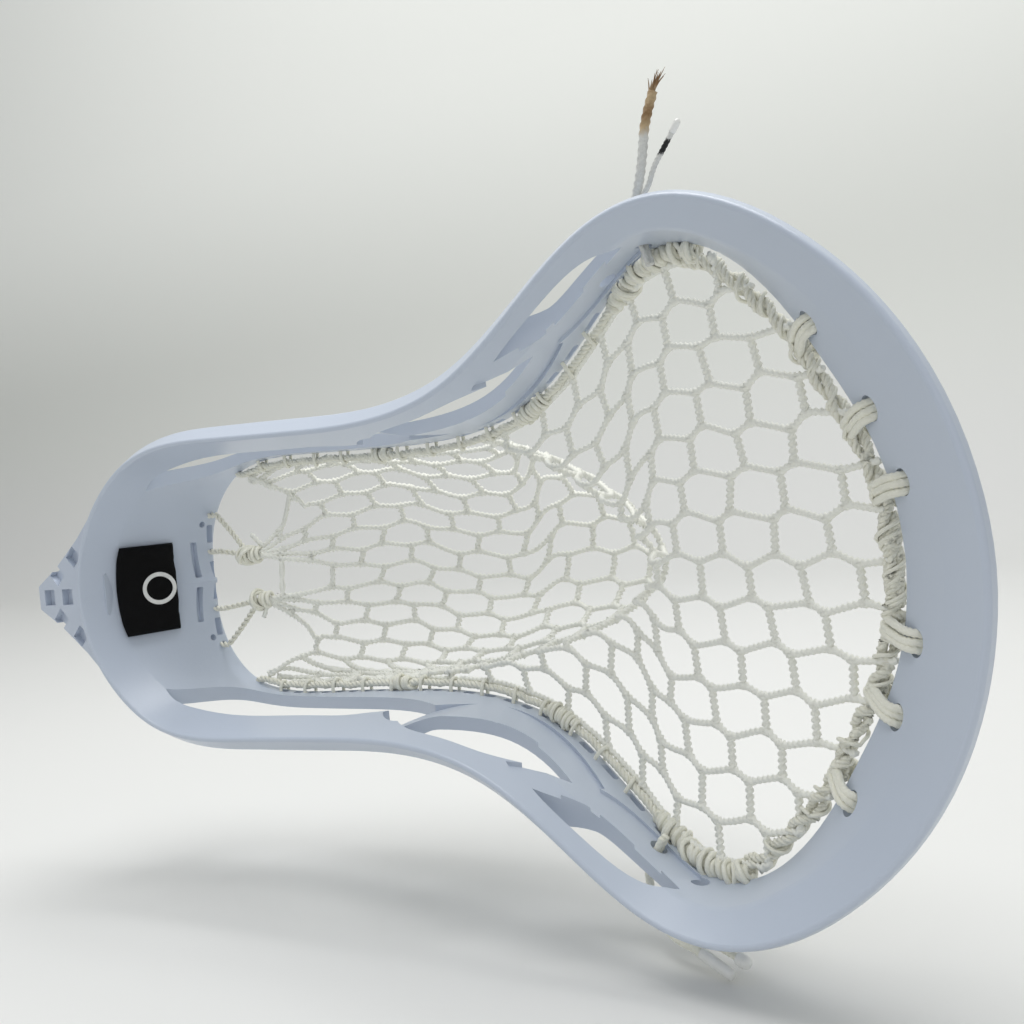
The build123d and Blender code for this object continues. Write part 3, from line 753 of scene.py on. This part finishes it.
def tail(word, kind, finish):
    """A loose tail: a cord of three soft lobes that turn along it, with its end pieces."""
    name = f"{word}_{kind}"
    line, radius = tail_lines[name], tail_radii[name] * mm
    piece = put_mesh(f"{name}_cord", *tubes(line, radius, 12, lobes=3, relief=0.1, twist=radius * 5,
                                            aside=tail_aside))
    dress(piece, finish, "lace_cord", f"{word}_tail_{kind}")


def stub(name, line, profile, node):
    """An end piece: a profile of (distance past the cord's end, radius) in mm, turned about its line."""
    distance, radius = np.array(profile).T * mm
    axis = line[-1] + distance[:, None] * unit(line[-1] - line[-6])
    return dress(put_mesh(name, *tubes(axis, radius, 16, aside=tail_aside)), sealed, "sealed_end", node)


def round_end(length, radius, steps=9):
    """A profile that starts flush, keeps its radius and closes in a quarter circle."""
    angle = np.linspace(0, np.pi / 2, steps)
    return ([(-0.4, radius * 0.92), (0.0, radius)]
            + [(length - radius + radius * math.sin(a), radius * max(math.cos(a), 0.03)) for a in angle])


upper_tip = stub("upper_cord_tip", tail_lines["upper_thin"], round_end(3.0, 0.85), "upper_tail_tip")
lower_tip = stub("lower_cord_tip", tail_lines["lower_thin"], round_end(3.4, 1.75), "lower_tail_tip")
sleeve_profile = [(-5.0, 1.42), (-4.6, 1.5), (0.0, 1.5), (3.0, 1.46), (4.4, 1.42), (4.9, 1.1), (5.0, 0.2)]
sleeve = stub("lower_sleeve", tail_lines["lower_braid"], sleeve_profile, "lower_tail_sleeve")


def frayed_end():
    """Loose filaments that spread from the braid's end, each a thin tapering cord."""
    line = tail_lines["upper_braid"]
    ahead, share = unit(line[-1] - line[-6]), np.linspace(0, 1, 16)[:, None]
    paths, reaches = [], []
    for k in range(16):
        spread = rng.normal(0, 0.55, 3) * mm
        bend = rng.normal(0, 0.5, 3) * mm
        length = rng.uniform(3.4, 5.6) * mm
        paths.append(line[-2] + rng.normal(0, 0.3, 3) * mm + ahead * length * share
                     + spread * share + bend * share ** 2)
        reaches.append(0.2 * mm * (1 - 0.8 * share[:, 0] ** 2))
    piece = put_mesh("frayed_end", *tubes(np.array(paths), np.array(reaches), 5, aside=tail_aside))
    return dress(piece, scorched, "scorched_end", "upper_tail_tuft")


tuft = frayed_end()
tail("upper", "braid", scorched)
tail("upper", "thin", banded)
tail("lower", "braid", braid_cord)
tail("lower", "thin", braid_cord)


# ---- ball stop pad and its ring mark ----
def node_triangles(node):
    """The corners a, b and c of a CAD node's triangles, each (n, 3)."""
    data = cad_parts[node].data
    points, corners = np.zeros(len(data.vertices) * 3), np.zeros(len(data.loops), int)
    data.vertices.foreach_get("co", points)
    data.loops.foreach_get("vertex_index", corners)
    return points.reshape(-1, 3)[corners].reshape(-1, 3, 3).transpose(1, 0, 2)


pad_low, pad_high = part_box("ball_stop_pad")
pad_triangles = node_triangles("ball_stop_pad")


def pad_front(y, z):
    """Points (n, 3) of the pad's face towards the ball at places y and z (n,), nan where it has none.

    Seen along X, a place is a + p (b - a) + q (c - a) in a triangle a, b, c, and is inside it where
    p, q and 1 - p - q are at least 0. The face is the largest x of a triangle that it is inside.
    """
    a, b, c = pad_triangles
    ab, ac = b - a, c - a
    area = ab[:, 1] * ac[:, 2] - ab[:, 2] * ac[:, 1]
    front = area > 1e-12
    a, ab, ac, area = a[front], ab[front], ac[front], area[front]
    dy, dz = y[:, None] - a[:, 1], z[:, None] - a[:, 2]
    p = (dy * ac[:, 2] - dz * ac[:, 1]) / area
    q = (dz * ab[:, 1] - dy * ab[:, 2]) / area
    inside = np.minimum(np.minimum(p, q), 1 - p - q) > -1e-6
    x = np.where(inside, a[:, 0] + p * ab[:, 0] + q * ac[:, 0], -np.inf).max(1)
    return np.stack([np.where(np.isfinite(x), x, np.nan), y, z], 1)


def pad_foot(z, inside, outside, halvings=16):
    """Where the pad's face ends at each z (n,), between a height on the face and one past it."""
    inside, outside = np.full_like(z, inside), np.full_like(z, outside)
    for _ in range(halvings):
        middle = (inside + outside) / 2
        met = np.isfinite(pad_front(middle, z)[:, 0])
        inside, outside = np.where(met, middle, inside), np.where(met, outside, middle)
    return inside


def foam_pad():
    """The pad as a crowned block, and the direction that it faces.

    Front = face - 2.6 mm * out * (1 - sqrt(1 - |a|^14) * sqrt(1 - |b|^10)), with a and b from -1
    to 1 across and down, so that its sides round over. The back is the face moved in by 2.85 mm.
    """
    count_z, count_y = 61, 41
    tall = pad_high.y - pad_low.y
    z = pad_low.z + (pad_high.z - pad_low.z) * np.linspace(0.004, 0.996, count_z)
    foot = pad_foot(z, pad_low.y + 0.5 * tall, pad_low.y + 0.03 * tall)
    y = foot + (pad_low.y + 0.97 * tall - foot) * np.linspace(0, 1, count_y)[:, None]
    face = pad_front(y.ravel(), np.tile(z, count_y)).reshape(count_y, count_z, 3)
    out = unit(np.cross(np.gradient(face, axis=0), np.gradient(face, axis=1)).mean((0, 1)))
    a, b = np.meshgrid(np.linspace(-1, 1, count_z), np.linspace(-1, 1, count_y))
    lift = (1 - np.abs(a) ** 14) ** 0.5 * (1 - np.abs(b) ** 10) ** 0.5
    front = face - out * (1 - lift[..., None]) * 2.6 * mm
    back = face - out * 2.85 * mm
    points = np.concatenate([front.reshape(-1, 3), back.reshape(-1, 3)])
    total = count_y * count_z
    numbers = np.arange(total).reshape(count_y, count_z)
    quads = np.stack([numbers[:-1, :-1], numbers[1:, :-1], numbers[1:, 1:], numbers[:-1, 1:]], -1)
    quads = quads.reshape(-1, 4)
    border = np.concatenate([numbers[0], numbers[1:, -1], numbers[-1, -2::-1], numbers[-2:0:-1, 0]])
    after = np.roll(border, -1)
    walls = np.stack([border, after, after + total, border + total], -1)
    piece = put_mesh("foam_pad", points, np.concatenate([quads, quads[:, ::-1] + total, walls]))
    dress(piece, foam(), "pad_foam", "ball_stop_pad")
    return out


pad_out = foam_pad()


def ring_mark():
    """A flat printed ring laid on the pad: a shallow oval section turned about the ring's middle.

    Point = place + 0.75 mm * cos(t) * radial + 0.32 mm * sin(t) * out, round the place on the pad.
    """
    low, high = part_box("ball_stop_mark")
    half_wide, proud = 0.75 * mm, 0.32 * mm
    radius = (high.z - low.z) / 2 - half_wide
    turn = np.linspace(0, 2 * np.pi, 97)[:-1, None]
    section = np.linspace(0, 2 * np.pi, 13)[:-1, None]
    down = unit(np.cross(pad_out, (0, 0, 1)))
    down = down * np.sign(down[1])
    radial = np.sin(turn) * (0, 0, 1) + np.cos(turn) * down
    place = pad_front((low.y + high.y) / 2 + radius * np.cos(turn[:, 0]) * down[1],
                      (low.z + high.z) / 2 + radius * np.sin(turn[:, 0]))
    points = (place[:, None] + np.cos(section) * radial[:, None] * half_wide
              + np.sin(section) * pad_out * proud)
    count, sides = points.shape[:2]
    i, k = np.meshgrid(np.arange(count), np.arange(sides), indexing="ij")
    after, beside = (i + 1) % count, (k + 1) % sides
    faces = np.stack([i * sides + k, after * sides + k, after * sides + beside, i * sides + beside], -1)
    piece = put_mesh("ring_mark", points.reshape(-1, 3), faces.reshape(-1, 4))
    return dress(piece, printed_mark(), "mark_print", "ball_stop_mark")


ring_mark()

# ---- the frame itself keeps its shape and gets its finish ----
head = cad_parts["head_frame"]
plastic = moulded_plastic()
for holder in head.material_slots:
    holder.material = plastic

# ---- floor, backdrop and light ----
floor_z = -100.6 * mm


def sweep_floor():
    """A floor that curves up into a wall: a profile carried along X. Its colour is painted lighter towards
    the top of the wall, a painted light gradient.
    """
    turn = np.linspace(0, np.pi / 2, 24)
    bend, back, top_z = 0.45, 0.95, 2.6
    y = np.concatenate([[-3.0], back + bend * np.sin(turn), [back + bend]])
    z = np.concatenate([[0.0], bend - bend * np.cos(turn), [top_z]]) + floor_z
    x = np.array([-4.0, 4.5])
    points = np.stack([np.stack([np.full_like(y, a), y, z], 1) for a in x]).reshape(-1, 3)
    i = np.arange(len(y) - 1)
    floor = put_mesh("floor", points, np.stack([i + len(y), i + 1 + len(y), i + 1, i], -1))
    material, start, shader = new_finish("paper_painted_light", roughness=0.75, specular_ior_level=0.2)
    place = place_of(start)
    height = start.node("ShaderNodeSeparateXYZ", None, {"Vector": place}, out=2)
    wall = start.node("ShaderNodeMapRange", {"interpolation_type": "SMOOTHSTEP"},
                      {"Value": height, "From Min": -0.05, "From Max": 0.25})
    # painted light: the paper's colour brightens from 0.76 to 0.98 towards the top of the wall
    top = start.node("ShaderNodeMapRange", {"interpolation_type": "SMOOTHSTEP"},
                     {"Value": height, "From Min": 0.25, "From Max": 0.8})
    lower = blend_colours(start, wall, (0.76, 0.76, 0.745), (0.76, 0.77, 0.735))
    feed(start, shader, "Base Color", blend_colours(start, top, lower, (0.98, 0.99, 0.95)))
    floor.data.materials.append(material)


def area_light(name, place, target, size, power, colour=(1, 1, 1)):
    data = bpy.data.lights.new(name, "AREA")
    data.shape, data.size, data.size_y, data.energy, data.color = "RECTANGLE", size[0], size[1], power, colour
    light = bpy.data.objects.new(name, data)
    aim = Vector(target) - Vector(place)
    light.matrix_world = Matrix.Translation(place) @ aim.to_track_quat("-Z", "Y").to_matrix().to_4x4()
    bpy.context.scene.collection.objects.link(light)


sweep_floor()
area_light("overhead", (0.12, 0.03, 0.85), (0.16, 0.02, 0.0), (0.8, 0.6), 5.2)
area_light("wall_wash", (-0.3, 0.35, 1.5), (-0.4, 1.4, 0.75), (2.4, 0.5), 9.0)
area_light("front_fill", (0.75, -0.9, 0.35), (0.16, 0.0, 0.0), (0.9, 0.7), 0.6, (0.97, 0.98, 1.0))
world = bpy.data.worlds.new("room")
world.use_nodes = True
room_light = world.node_tree.nodes["Background"].inputs
room_light["Color"].default_value = (0.93, 0.95, 0.96, 1)
room_light["Strength"].default_value = 0.54
bpy.context.scene.world = world
bpy.context.scene.view_settings.view_transform = "Standard"
